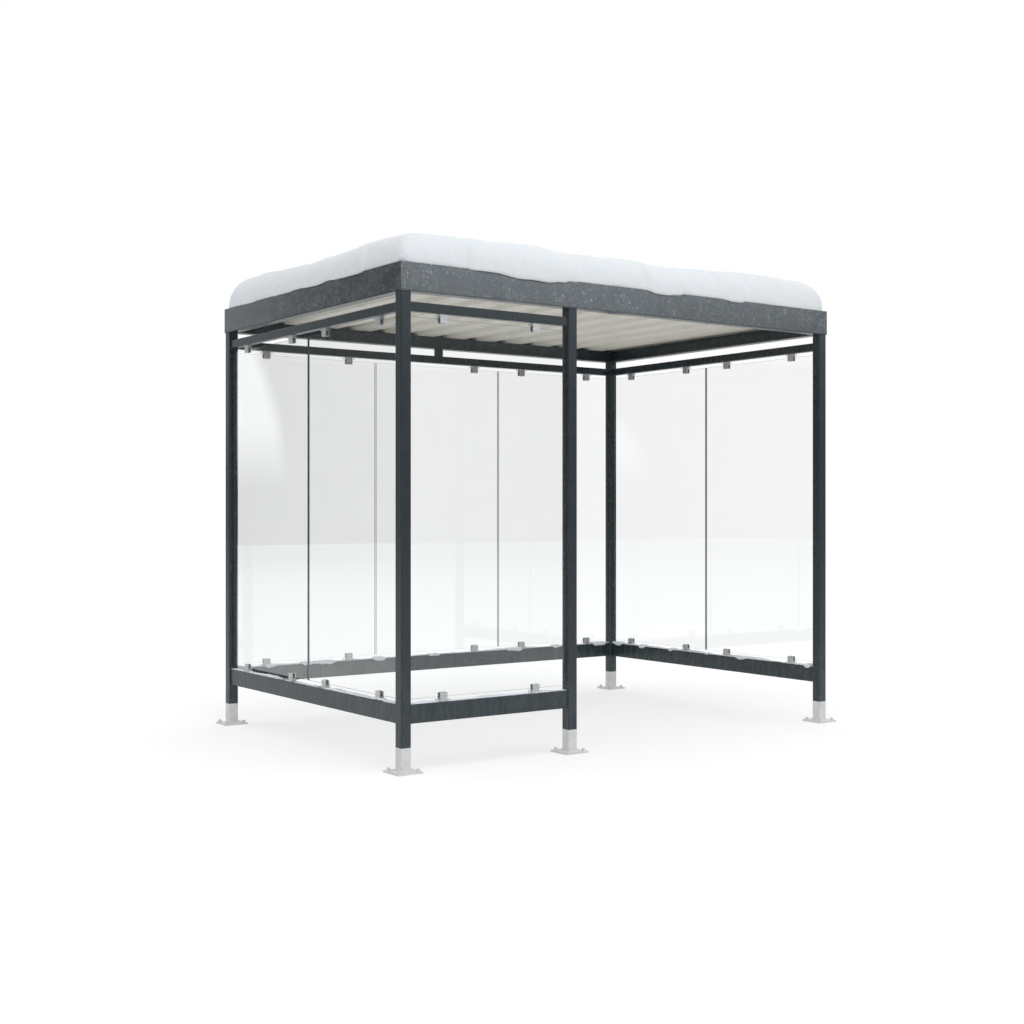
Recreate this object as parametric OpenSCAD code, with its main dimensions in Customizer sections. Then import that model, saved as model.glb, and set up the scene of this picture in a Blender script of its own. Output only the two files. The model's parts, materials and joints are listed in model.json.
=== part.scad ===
// Smoking shelter: five square posts on buried base plates carry a rectangular
// roof frame. Clear glass panes stand between rails on three sides and on half
// of the front, and the rest of the front is the way in. Snow lies on the roof.
// Frame: +X to the right along the front, +Y to the back, +Z up. The origin is
// the centre of the footprint on the base plates' underside. Millimetres.

/* [Frame] */
// Length over the posts, left to right
frame_w = 3160; // [2400:10:4200]
// Depth over the posts, front to back
frame_d = 2150; // [1600:10:3000]
// Length over the posts of the glazed half of the front
front_wall_w = 1140; // [840:10:1500]
// Height of the posts above the ground
post_h = 2340; // [1900:10:2900]
// Depth of the base plates' underside below the ground
bury_depth = 130; // [60:5:300]

/* [Steel sections] */
// Side of the square posts
post_s = 60; // [50:1:90]
// Corner radius of the posts
post_r = 5; // [3:1:8]
// Wall of the posts, rails and roof beams
tube_wall = 3; // [2:0.5:4]
// Corner radius of the rails and roof beams
rail_r = 4; // [3:1:6]
// Depth of the rails, across the wall
rail_d = 40; // [36:1:46]
// Height of the lower rails
low_rail_h = 100; // [60:5:140]
// Height of the lower rails' underside above the ground
low_rail_z = 120; // [60:5:240]
// Height of the upper rails
top_rail_h = 50; // [40:5:80]
// Gap between the upper rails and the roof beams
top_rail_gap = 50; // [20:5:120]
// Length along the wall of the short stub over the back upper rail
stub_l = 50; // [30:5:80]

/* [Base plates] */
// Side of the square base plates
plate_s = 150; // [140:5:220]
// Thickness of the base plates
plate_t = 10; // [6:1:20]
// Distance between the anchor holes, both ways
hole_spacing = 110; // [104:1:115]
// Diameter of the anchor holes
hole_d = 14; // [9:0.5:18]

/* [Glass] */
// Thickness of the panes
glass_t = 8; // [6:1:10]
// Gap beside each pane
pane_gap = 10; // [6:1:20]

/* [Clamps] */
// Width of a clamp, along the rail
clamp_w = 45; // [36:1:60]
// Height of a clamp, from the rail
clamp_h = 47; // [40:1:60]
// Thickness of a clamp, across the wall
clamp_t = 26; // [22:1:30]
// Corner radius of the clamp's end that holds the glass
clamp_r = 3; // [1:0.5:6]
// Solid part of a clamp between the rail and its slot
clamp_floor = 20; // [12:1:24]
// Distance from the pane's side edges to the clamps' centres
clamp_inset = 200; // [120:10:300]
// Thickness of the rubber on each face of the glass
gasket_t = 2; // [1:0.5:2.5]
// Thickness of the rubber under the edge of the glass
gasket_floor = 5; // [3:1:6]

/* [Roof] */
// Height of the roof beams
beam_h = 80; // [60:5:120]
// Height of the fascia plates
fascia_h = 150; // [130:5:200]
// Thickness of the fascia plates
fascia_t = 4; // [2:1:8]
// Distance between the ribs of the roof sheet
rib_pitch = 250; // [200:10:330]
// Width of a rib at its foot
rib_foot_w = 120; // [90:5:140]
// Width of a rib at its crest
rib_crest_w = 72; // [50:2:80]
// Height of the ribs
rib_h = 38; // [20:1:45]
// Thickness of the roof sheet
sheet_t = 1; // [0.8:0.1:2]
// Gap between the roof sheet and the fascia plates
sheet_gap = 5; // [2:1:10]

/* [Snow] */
// Height of the snow above the top of the fascia
snow_h = 180; // [60:5:300]
// Width of the snow's rounded shoulder
snow_shoulder = 150; // [80:5:300]
// Corner radius of the snow
snow_corner_r = 120; // [60:5:200]
// Height of the waves on the snow
snow_wave = 14; // [0:1:25]

/* [Hidden] */
$fn = 48;
half_w = frame_w / 2;
half_d = frame_d / 2;
ground_z = bury_depth;
low_rail_top = low_rail_z + low_rail_h;
top_rail_base = post_h - top_rail_gap - top_rail_h;
beam_z = ground_z + post_h;
sheet_z = beam_z + beam_h;
rib_top_z = sheet_z + rib_h + sheet_t;
fascia_top_z = beam_z + fascia_h;

// Centres of the posts
left_x = -half_w + post_s / 2;
right_x = half_w - post_s / 2;
mid_x = -half_w + front_wall_w - post_s / 2;
front_y = -half_d + post_s / 2;
back_y = half_d - post_s / 2;

// Each wall starts at the face of its first post: [x, y, angle, length, panes]
panes_back = 3;
panes_side = 2;
WALL_FRONT = [left_x + post_s / 2, front_y, 0, front_wall_w - 2 * post_s, 1];
WALL_BACK = [left_x + post_s / 2, back_y, 0, frame_w - 2 * post_s, panes_back];
WALL_LEFT = [left_x, front_y + post_s / 2, 90, frame_d - 2 * post_s, panes_side];
WALL_RIGHT = [right_x, front_y + post_s / 2, 90, frame_d - 2 * post_s, panes_side];

// Glass and clamps
glass_lift = clamp_floor + gasket_floor;
slot_w = glass_t + 2 * gasket_t;
gasket_inset = 1;
glass_z0 = low_rail_top + glass_lift;
glass_z1 = top_rail_base - glass_lift;

// Roof sheet
sheet_half_w = half_w - sheet_gap;
sheet_half_d = half_d - sheet_gap;
ribs_each_side = floor((sheet_half_w - rib_foot_w / 2) / rib_pitch);

// Snow: points along a ring, rings over the shoulder and the cap, the fall of
// the cap to the middle, half the width of the middle ring, and the largest
// corner radius of a ring as a share of its half width
corner_steps = 4;
long_steps = 14;
short_steps = 10;
shoulder_steps = 5;
cap_steps = 4;
snow_dip = 12;
snow_ridge = 60;
snow_round = 0.8;
cut = 1;

function pane_w(wall) = (wall[3] - (wall[4] + 1) * pane_gap) / wall[4];
function pane_x(wall, i) = pane_gap + i * (pane_w(wall) + pane_gap);

colour_steel = [0.20, 0.24, 0.27];
colour_zinc = [0.78, 0.79, 0.80];
colour_glass = [0.88, 0.92, 0.93, 0.35];
colour_clamp = [0.70, 0.71, 0.72];
colour_rubber = [0.10, 0.10, 0.11];
colour_fascia = [0.40, 0.43, 0.44];
colour_sheet = [0.84, 0.83, 0.80];
colour_snow = [0.94, 0.96, 0.98];

// Rectangle with round corners, centred
module rounded(w, h, r) {
    union() {
        square([w - 2 * r, h], center = true);
        square([w, h - 2 * r], center = true);
        for (x = [-1, 1], y = [-1, 1])
            translate([x * (w / 2 - r), y * (h / 2 - r)]) circle(r);
    }
}

// Hollow rectangular tube standing on the origin, w along X and d along Y
module tube(w, d, length, r) {
    linear_extrude(length) difference() {
        rounded(w, d, r);
        rounded(w - 2 * tube_wall, d - 2 * tube_wall, max(r - tube_wall, 0.5));
    }
}

// The same tube lying along +X from the origin, its underside on z = 0
module lying_tube(length, d, h, r) {
    translate([0, 0, h / 2]) rotate([90, 0, 90]) tube(d, h, length, r);
}

// Puts its children on a wall: x along it, y across it, z up from the ground
module on_wall(wall) {
    translate([wall[0], wall[1], ground_z]) rotate([0, 0, wall[2]]) children();
}

module post(x, y) {
    color(colour_steel) translate([x, y, plate_t]) tube(post_s, post_s, beam_z - plate_t, post_r);
}

module base_plate(x, y) {
    color(colour_zinc) translate([x, y, 0]) difference() {
        linear_extrude(plate_t) square(plate_s, center = true);
        for (dx = [-1, 1], dy = [-1, 1])
            translate([dx * hole_spacing / 2, dy * hole_spacing / 2, -cut])
                cylinder(h = plate_t + 2 * cut, d = hole_d);
    }
}

module lower_rail(wall) {
    color(colour_steel) on_wall(wall) translate([0, 0, low_rail_z])
        lying_tube(wall[3], rail_d, low_rail_h, rail_r);
}

module upper_rail(wall) {
    color(colour_steel) on_wall(wall) translate([0, 0, top_rail_base])
        lying_tube(wall[3], rail_d, top_rail_h, rail_r);
}

// Short post between the back upper rail and the roof beam, at mid-length
module back_rail_stub() {
    color(colour_steel) on_wall(WALL_BACK)
        translate([WALL_BACK[3] / 2, 0, top_rail_base + top_rail_h])
            tube(stub_l, rail_d, top_rail_gap, rail_r);
}

module pane(wall, i) {
    color(colour_glass) on_wall(wall) translate([pane_x(wall, i), -glass_t / 2, glass_z0])
        cube([pane_w(wall), glass_t, glass_z1 - glass_z0]);
}

// Puts its children at every clamp of a wall, standing on the lower rail and
// hanging upside down from the upper rail
module at_clamps(wall) {
    on_wall(wall) for (i = [0 : wall[4] - 1], end = [0, 1]) {
        x = pane_x(wall, i) + (end == 0 ? clamp_inset : pane_w(wall) - clamp_inset);
        translate([x, 0, low_rail_top]) children();
        translate([x, 0, top_rail_base]) mirror([0, 0, 1]) children();
    }
}

// Clamp standing on z = 0, with its slot for the glass open upwards
module clamp() {
    difference() {
        translate([0, clamp_t / 2, 0]) rotate([90, 0, 0]) linear_extrude(clamp_t) union() {
            translate([-clamp_w / 2, 0]) square([clamp_w, clamp_h - clamp_r]);
            translate([-clamp_w / 2 + clamp_r, 0]) square([clamp_w - 2 * clamp_r, clamp_h]);
            for (x = [-1, 1])
                translate([x * (clamp_w / 2 - clamp_r), clamp_h - clamp_r]) circle(clamp_r);
        }
        translate([-clamp_w / 2 - cut, -slot_w / 2, clamp_floor])
            cube([clamp_w + 2 * cut, slot_w, clamp_h]);
    }
}

// Rubber channel in the clamp's slot, round the edge of the glass
module gasket() {
    length = clamp_w - 2 * gasket_inset;
    translate([-length / 2, 0, clamp_floor]) difference() {
        translate([0, -slot_w / 2, 0]) cube([length, slot_w, clamp_h - clamp_floor - gasket_inset]);
        translate([-cut, -glass_t / 2, gasket_floor]) cube([length + 2 * cut, glass_t, clamp_h]);
    }
}

module clamps(wall) {
    color(colour_clamp) at_clamps(wall) clamp();
}

module gaskets(wall) {
    color(colour_rubber) at_clamps(wall) gasket();
}

// The front and back beams run the full length, and the side beams fit between
module long_beam(y) {
    color(colour_steel) translate([-half_w, y, beam_z]) lying_tube(frame_w, post_s, beam_h, rail_r);
}

module side_beam(x) {
    color(colour_steel) translate([x, -half_d + post_s, beam_z]) rotate([0, 0, 90])
        lying_tube(frame_d - 2 * post_s, post_s, beam_h, rail_r);
}

// The front and back plates cover the ends of the side plates
module long_fascia(y) {
    color(colour_fascia) translate([-half_w - fascia_t, y, beam_z])
        cube([frame_w + 2 * fascia_t, fascia_t, fascia_h]);
}

module side_fascia(x) {
    color(colour_fascia) translate([x, -half_d, beam_z]) cube([fascia_t, frame_d, fascia_h]);
}

// Underside of the sheet from left to right: flat, with ribs at an even pitch
function sheet_line() = concat(
    [[-sheet_half_w, 0]],
    [for (k = [-ribs_each_side : ribs_each_side], p = [
        [-rib_foot_w / 2, 0], [-rib_crest_w / 2, rib_h],
        [rib_crest_w / 2, rib_h], [rib_foot_w / 2, 0]
    ]) [k * rib_pitch + p[0], p[1]]],
    [[sheet_half_w, 0]]
);

module roof_sheet() {
    line = sheet_line();
    last = len(line) - 1;
    color(colour_sheet) translate([0, sheet_half_d, sheet_z]) rotate([90, 0, 0])
        linear_extrude(2 * sheet_half_d)
            polygon(concat(line, [for (i = [0 : last]) line[last - i] + [0, sheet_t]]));
}

// Ring of points round a rectangle of half sizes hx and hy with corner radius r
function ring(hx, hy, r) = [
    for (q = [0 : 3])
        let (
            sx = (q == 0 || q == 3) ? 1 : -1,
            sy = q < 2 ? 1 : -1,
            steps = q % 2 == 0 ? long_steps : short_steps,
            c = [sx * (hx - r), sy * (hy - r)],
            n = q % 2 == 0 ? [-c[0], c[1]] : [c[0], -c[1]],
            a1 = 90 * (q + 1)
        )
        each concat(
            [for (k = [0 : corner_steps]) let (a = 90 * q + 90 * k / corner_steps)
                c + r * [cos(a), sin(a)]],
            [for (s = [1 : steps - 1]) c + r * [cos(a1), sin(a1)] + (n - c) * s / steps]
        )
];

// Waves on the snow, falling a little towards the middle
function wave(p) = snow_wave * sin(360 * p[0] / 1350 + 60) * cos(360 * p[1] / 1100);

// One ring of the snow: [inset from the fascia's outside, height over the
// fascia's top, share of the waves, corner radius]
SNOW_LEVELS = concat(
    [[fascia_t, rib_top_z - fascia_top_z, 0, cut], [fascia_t, 0, 0, cut]],
    [for (k = [0 : shoulder_steps]) let (a = 90 * k / shoulder_steps)
        [snow_shoulder * (1 - cos(a)), snow_h * sin(a), sin(a), snow_corner_r]],
    [for (k = [1 : cap_steps]) let (f = k / cap_steps)
        [snow_shoulder + f * (half_d - snow_shoulder - snow_ridge), snow_h - snow_dip * f, 1,
            snow_corner_r / 2]]
);

function snow_ring(level) = let (
    hx = half_w + fascia_t - level[0],
    hy = half_d + fascia_t - level[0]
) [for (p = ring(hx, hy, min(level[3], hy * snow_round)))
    [p[0], p[1], fascia_top_z + level[1] + level[2] * wave(p)]];

module snow_cover() {
    rings = [for (level = SNOW_LEVELS) snow_ring(level)];
    n = len(rings[0]);
    last = len(rings) - 1;
    points = concat(
        [for (r = rings, p = r) p],
        [[0, 0, rib_top_z], [0, 0, fascia_top_z + snow_h - snow_dip + wave([0, 0])]]
    );
    foot = n * (last + 1);
    faces = concat(
        [for (k = [0 : last - 1], i = [0 : n - 1]) let (j = (i + 1) % n)
            [k * n + i, (k + 1) * n + i, (k + 1) * n + j]],
        [for (k = [0 : last - 1], i = [0 : n - 1]) let (j = (i + 1) % n)
            [k * n + i, (k + 1) * n + j, k * n + j]],
        [for (i = [0 : n - 1]) [foot, i, (i + 1) % n]],
        [for (i = [0 : n - 1]) [foot + 1, last * n + (i + 1) % n, last * n + i]]
    );
    color(colour_snow) polyhedron(points, faces);
}

post(left_x, front_y);  // post_front_left
post(mid_x, front_y);  // post_front_mid
post(right_x, front_y);  // post_front_right
post(right_x, back_y);  // post_back_right
post(left_x, back_y);  // post_back_left
base_plate(left_x, front_y);  // base_plate_front_left
base_plate(mid_x, front_y);  // base_plate_front_mid
base_plate(right_x, front_y);  // base_plate_front_right
base_plate(right_x, back_y);  // base_plate_back_right
base_plate(left_x, back_y);  // base_plate_back_left
lower_rail(WALL_FRONT);  // lower_rail_front
lower_rail(WALL_LEFT);  // lower_rail_left
lower_rail(WALL_RIGHT);  // lower_rail_right
lower_rail(WALL_BACK);  // lower_rail_back
upper_rail(WALL_FRONT);  // upper_rail_front
upper_rail(WALL_LEFT);  // upper_rail_left
upper_rail(WALL_RIGHT);  // upper_rail_right
upper_rail(WALL_BACK);  // upper_rail_back
back_rail_stub();
pane(WALL_FRONT, 0);  // glass_front
pane(WALL_LEFT, 0);  // glass_left_front
pane(WALL_LEFT, 1);  // glass_left_back
pane(WALL_RIGHT, 0);  // glass_right_front
pane(WALL_RIGHT, 1);  // glass_right_back
pane(WALL_BACK, 0);  // glass_back_left
pane(WALL_BACK, 1);  // glass_back_middle
pane(WALL_BACK, 2);  // glass_back_right
clamps(WALL_FRONT);  // clamps_front
clamps(WALL_LEFT);  // clamps_left
clamps(WALL_RIGHT);  // clamps_right
clamps(WALL_BACK);  // clamps_back
gaskets(WALL_FRONT);  // gaskets_front
gaskets(WALL_LEFT);  // gaskets_left
gaskets(WALL_RIGHT);  // gaskets_right
gaskets(WALL_BACK);  // gaskets_back
long_beam(front_y);  // roof_beam_front
long_beam(back_y);  // roof_beam_back
side_beam(left_x);  // roof_beam_left
side_beam(right_x);  // roof_beam_right
long_fascia(-half_d - fascia_t);  // fascia_front
long_fascia(half_d);  // fascia_back
side_fascia(-half_w - fascia_t);  // fascia_left
side_fascia(half_w);  // fascia_right
roof_sheet();
snow_cover();
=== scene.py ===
"""Looks of a glazed steel smoking shelter under snow: finishes for the steel, the glass
and the roof sheet, and the snow, frost, anchor bolts, screws and welds modelled here."""

import json
import math

import bmesh
import bpy
from bpy.props import FloatProperty, FloatVectorProperty, IntProperty, PointerProperty
from mathutils import Matrix, Vector, noise


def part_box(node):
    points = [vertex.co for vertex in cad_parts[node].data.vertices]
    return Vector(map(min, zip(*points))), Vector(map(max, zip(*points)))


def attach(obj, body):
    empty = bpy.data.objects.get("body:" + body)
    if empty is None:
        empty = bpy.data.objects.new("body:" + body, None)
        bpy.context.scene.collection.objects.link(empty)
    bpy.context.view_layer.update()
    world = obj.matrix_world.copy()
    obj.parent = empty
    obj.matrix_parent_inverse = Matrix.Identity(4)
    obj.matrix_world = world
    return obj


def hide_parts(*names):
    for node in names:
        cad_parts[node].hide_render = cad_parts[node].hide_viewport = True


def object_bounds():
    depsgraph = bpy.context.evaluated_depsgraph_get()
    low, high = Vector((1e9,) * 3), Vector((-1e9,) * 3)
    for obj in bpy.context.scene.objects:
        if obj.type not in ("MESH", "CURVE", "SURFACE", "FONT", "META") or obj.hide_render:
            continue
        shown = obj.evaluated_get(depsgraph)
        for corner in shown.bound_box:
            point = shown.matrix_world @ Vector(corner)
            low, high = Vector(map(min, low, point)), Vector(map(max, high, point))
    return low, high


bl_info = {
    "name": "Smoking Shelter Looks",
    "version": (1, 0, 0),
    "blender": (4, 5, 0),
    "location": "3D View > Sidebar > Shelter",
    "description": "Finishes and fine detail of a glazed steel shelter under snow",
    "category": "Object",
}

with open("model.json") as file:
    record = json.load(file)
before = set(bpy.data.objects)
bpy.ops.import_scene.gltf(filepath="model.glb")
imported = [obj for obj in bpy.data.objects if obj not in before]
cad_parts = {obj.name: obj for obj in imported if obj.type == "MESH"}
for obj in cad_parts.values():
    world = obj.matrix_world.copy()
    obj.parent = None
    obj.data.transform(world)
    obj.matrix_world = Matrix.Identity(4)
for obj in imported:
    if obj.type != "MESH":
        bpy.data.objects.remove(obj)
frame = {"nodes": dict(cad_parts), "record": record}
CAD_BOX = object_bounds()
BODY = "root"
WALLS = ("front", "left", "right", "back")
FEET = ("front_left", "front_mid", "front_right", "back_right", "back_left")
OPENINGS = {o["name"]: o["box_m"] for o in frame["record"]["physics"]["openings"]}
GROUND_Z = OPENINGS["shelter_interior"][0][2]
HOLES = [m for m in frame["record"]["mounts"] if m["kind"] == "bolt_pattern"]


# ---- Settings ----


def length(name, default, description):
    """A length in metres that a user may change."""
    return FloatProperty(
        name=name, default=default, description=description, unit="LENGTH", precision=4
    )


def share(name, default, description):
    """A number from 0 to 1."""
    return FloatProperty(
        name=name, default=default, description=description, subtype="FACTOR", min=0, max=1
    )


def colour(name, default, description):
    """A colour in linear red, green and blue."""
    return FloatVectorProperty(
        name=name, default=default, description=description, subtype="COLOR", size=3, min=0, max=1
    )


class ShelterSizes(bpy.types.PropertyGroup):
    """Sizes of the detail that is modelled here."""

    nut_flats: length("Nut width", 0.018, "Width across the flats of the anchor nuts")
    nut_height: length("Nut height", 0.010, "Height of the anchor nuts")
    washer_radius: length("Washer radius", 0.012, "Radius of the washers under the nuts")
    washer_height: length("Washer thickness", 0.0025, "Thickness of the washers")
    stud_radius: length("Stud radius", 0.006, "Radius of the anchor bolts")
    stud_over: length("Stud end", 0.004, "Height of the anchor bolts over their nuts")
    weld: length(
        "Weld size", 0.004, "Leg of the weld beads round the rails' ends and the posts' feet"
    )
    screw_radius: length("Screw radius", 0.0042, "Radius of the clamps' socket screws")
    screw_over: length("Screw height", 0.0012, "Height of the socket screws over the clamps")
    screw_apart: length("Screw spacing", 0.022, "Distance between a clamp's two screws")
    screw_up: length("Screw place", 0.010, "Distance of the screws from the rail")
    snow_height: length("Snow height", 0.180, "Height of the snow over the top of the fascia")
    snow_shoulder: length("Snow shoulder", 0.150, "Width of the rounded shoulder of the snow")
    snow_corner: length("Snow corner", 0.050, "Corner radius of the snow seen from above")
    snow_drop: length("Snow drop", 0.026, "How far the snow hangs down over the fascia at most")
    snow_reach: length("Snow reach", 0.014, "How far the snow stands out from the fascia at most")
    snow_wave: length("Snow waves", 0.012, "Height of the long waves on top of the snow")
    snow_lump: length("Snow lumps", 0.006, "Height of the small lumps on the snow")
    frost_height: length(
        "Frost thickness", 0.006, "Thickness of the snow patches on the lower rails"
    )
    frost_cell: length("Frost mesh size", 0.004, "Mesh size of the snow patches on the lower rails")
    seed: IntProperty(
        name="Seed", default=7, description="Seed of the noise on snow and frost", min=0
    )


class ShelterFinishes(bpy.types.PropertyGroup):
    """Colours and roughness of the finishes."""

    paint: colour(
        "Paint", (0.019, 0.029, 0.034), "Anthracite powder coat on posts, rails and beams"
    )
    paint_fleck: colour("Paint fleck", (0.052, 0.068, 0.075), "Lighter mottling in the powder coat")
    paint_rough: share("Paint roughness", 0.26, "Roughness of the powder coat")
    fascia: colour("Fascia", (0.130, 0.142, 0.152), "Mottled coat of the fascia plates")
    fascia_fleck: colour("Fascia fleck", (0.46, 0.48, 0.49), "Bright flecks in the fascia's coat")
    fascia_rough: share("Fascia roughness", 0.22, "Roughness of the fascia's coat")
    zinc: colour("Zinc", (0.78, 0.78, 0.78), "Dull zinc of the buried feet and plates")
    sheet: colour("Roof sheet", (0.80, 0.77, 0.68), "Cream coat of the roof sheet's underside")
    clamp: colour("Clamp", (0.61, 0.62, 0.62), "Brushed stainless steel of the clamps")
    rubber: colour("Rubber", (0.018, 0.018, 0.020), "Rubber channels in the clamps")
    glass: colour("Glass", (0.992, 0.995, 0.994), "Tint of the clear panes")
    # painted shade: the panes' edges get this flat dark colour, which stands in for the dark look
    # of light inside the glass
    glass_edge_painted_shade: colour(
        "Glass edge", (0.07, 0.09, 0.09), "Sawn edges of the panes, seen from the side"
    )
    glass_index: FloatProperty(
        name="Glass index", default=1.5, description="Refractive index of the panes", min=1, max=2
    )
    snow: colour("Snow", (0.79, 0.81, 0.825), "Snow on the roof")
    frost: colour("Frost", (0.82, 0.87, 0.93), "Thin snow on the lower rails")


class ShelterStage(bpy.types.PropertyGroup):
    """Light, floor and camera."""

    sky: FloatProperty(
        name="Sky", default=0.78, description="Strength of the sky on matt surfaces", min=0
    )
    sun: FloatProperty(
        name="Sun", default=0.75, description="Strength of the broad lamp above", min=0
    )
    street: share("Street", 0.12, "How bright the low band round the shelter is in reflections")
    high_sky: FloatProperty(
        name="High sky", default=1.5, description="The sky in reflections", min=0
    )
    shade_side: FloatProperty(
        name="Shaded side",
        default=math.radians(150),
        description="Direction, from +X towards +Y, in which reflections find little light",
        subtype="ANGLE",
    )
    floor_glow: share(
        "Floor glow", 0.62, "Share of plain white in the floor, which lightens the shadow"
    )
    # painted shade: how much darker the floor is painted under the shelter
    floor_painted_shade: share("Floor shade", 0.11, "How much darker the floor is under the shelter")
    floor_size: length("Floor size", 90.0, "Side of the square floor")
    lens: FloatProperty(
        name="Lens", default=50.0, description="Focal length in millimetres", min=10
    )
    camera_place: FloatVectorProperty(
        name="Camera place",
        default=(-5.3345, -7.3074, 1.3382),
        description="Where the camera stands, from the middle of the footprint",
        subtype="TRANSLATION",
        unit="LENGTH",
    )
    camera_turn: FloatProperty(
        name="Camera turn",
        default=math.radians(35.521),
        description="Turn of the level camera from +Y towards +X",
        subtype="ANGLE",
    )


# ---- Nodes ----


def add(tree, kind, inputs=None, **attrs):
    """New shader node; inputs are values or sockets to link, by name or number."""
    n = tree.nodes.new(kind)
    for key, value in attrs.items():
        setattr(n, key, value)
    for key, value in (inputs or {}).items():
        if isinstance(value, bpy.types.NodeSocket):
            tree.links.new(value, n.inputs[key])
        else:
            n.inputs[key].default_value = value
    return n


def rgba(c):
    """The colour with full opacity."""
    return (*c[:3], 1.0)


def dim(c, factor):
    """The colour made darker, or lighter where the factor is over 1."""
    return tuple(factor * v for v in c)


def calc(tree, operation, a, b=0.0):
    """Result of a Math node on one or two values or sockets."""
    return add(tree, "ShaderNodeMath", {0: a, 1: b}, operation=operation).outputs[0]


def product(tree, *values):
    """Values or sockets multiplied together."""
    result = values[0]
    for value in values[1:]:
        result = calc(tree, "MULTIPLY", result, value)
    return result


def either(tree, a, b):
    """The larger of two values or sockets."""
    return calc(tree, "MAXIMUM", a, b)


def blend(tree, fac, a, b):
    """Colour between a and b, which are colours or sockets."""
    a, b = (v if isinstance(v, bpy.types.NodeSocket) else rgba(v) for v in (a, b))
    return add(tree, "ShaderNodeMix", {0: fac, 6: a, 7: b}, data_type="RGBA").outputs[2]


def spread(tree, value, low, high, to_low=0.0, to_high=1.0):
    """value taken from the range low to high into the range to_low to to_high, smoothly."""
    inputs = {"Value": value, "From Min": low, "From Max": high}
    inputs.update({"To Min": to_low, "To Max": to_high})
    return add(tree, "ShaderNodeMapRange", inputs, interpolation_type="SMOOTHSTEP").outputs[0]


def place(tree, scale=(1, 1, 1)):
    """The point on the object in metres, scaled."""
    point = add(tree, "ShaderNodeTexCoord").outputs["Object"]
    return add(tree, "ShaderNodeMapping", {"Vector": point, "Scale": scale}).outputs[0]


def height_of(tree, at):
    """Height of the point or direction at."""
    return add(tree, "ShaderNodeSeparateXYZ", {0: at}).outputs["Z"]


def grain(tree, at, scale, detail=4.0, rough=0.6, warp=0.0):
    """Noise from 0 to 1 with features of about 1 / scale metres."""
    inputs = {"Vector": at, "Scale": scale, "Detail": detail}
    inputs.update({"Roughness": rough, "Distortion": warp})
    return add(tree, "ShaderNodeTexNoise", inputs).outputs["Fac"]


def bump(tree, height, depth, strength=1.0, after=None):
    """Normal of a relief whose height runs over depth metres."""
    inputs = {"Height": height, "Distance": depth, "Strength": strength}
    if after is not None:
        inputs["Normal"] = after
    return add(tree, "ShaderNodeBump", inputs).outputs["Normal"]


def finish_of(name, **values):
    """New material with the Principled shader's inputs set, and its node tree."""
    material = bpy.data.materials.new(name)
    material.use_nodes = True
    tree = material.node_tree
    shader = tree.nodes["Principled BSDF"]
    for key, value in values.items():
        socket = shader.inputs[key.replace("_", " ")]
        if socket.type == "RGBA":
            value = rgba(value)
        socket.default_value = value
    return material, tree, shader


def join(tree, shader, **sockets):
    """Links sockets to the shader's inputs."""
    for key, socket in sockets.items():
        tree.links.new(socket, shader.inputs[key.replace("_", " ")])


# ---- Finishes ----


LIGHTER_LOW = 0.55  # height over the ground below which the posts and rails grow lighter, in patches
SPECKLED = (0.9, 0.1)  # heights over the ground between which the pale mottling fades in
WAVY = 0.006  # how far the paint's lower edge strays up and down
DIRT_AND_PAINTED_SHADE_EDGE = (0.012, 0.003)  # heights over the fascia's lower edge between which its dark band lies, partly dirt and partly painted shade


def painted_steel(f):
    """Anthracite powder coat with pale mottling low down, lighter in patches near the ground,
    and bare zinc below it."""
    material, tree, shader = finish_of("anthracite_powder_coat")
    at = place(tree)
    up = height_of(tree, add(tree, "ShaderNodeTexCoord").outputs["Object"])
    speckle = grain(tree, at, scale=70, detail=6, rough=0.72)
    cloud = grain(tree, at, scale=9, detail=3, rough=0.6, warp=0.4)
    low_patches = grain(tree, place(tree, (1, 1, 0.25)), scale=30, detail=5, rough=0.7)
    low = spread(tree, up, GROUND_Z + SPECKLED[0], GROUND_Z + SPECKLED[1], 0.0, 0.7)
    patchy = spread(tree, cloud, 0.35, 0.65, 0.1, 0.8)
    fleck = product(tree, spread(tree, speckle, 0.42, 0.80), patchy, low)
    paint = blend(tree, fleck, f.paint, f.paint_fleck)
    # lighter in patches towards the ground
    lighter_low = product(
        tree, spread(tree, up, GROUND_Z + LIGHTER_LOW, GROUND_Z, 0, 0.5), spread(tree, low_patches, 0.35, 0.7)
    )
    paint = blend(tree, lighter_low, paint, dim(f.paint_fleck, 1.6))
    stray = product(tree, calc(tree, "SUBTRACT", speckle, 0.5), WAVY)
    buried = calc(tree, "LESS_THAN", calc(tree, "ADD", up, stray), GROUND_Z)
    stain = grain(tree, at, scale=22, detail=5, rough=0.65)
    zinc = blend(tree, spread(tree, stain, 0.3, 0.75), f.zinc, dim(f.zinc, 0.86))
    rough = spread(tree, cloud, 0.3, 0.75, f.paint_rough - 0.01, f.paint_rough + 0.03)
    rough = either(tree, rough, product(tree, buried, 0.7))
    peel = grain(tree, at, scale=260, detail=2, rough=0.5)
    join(tree, shader, Base_Color=blend(tree, buried, paint, zinc), Roughness=rough)
    join(tree, shader, Normal=bump(tree, peel, 0.00012, 0.4))
    return material


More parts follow.
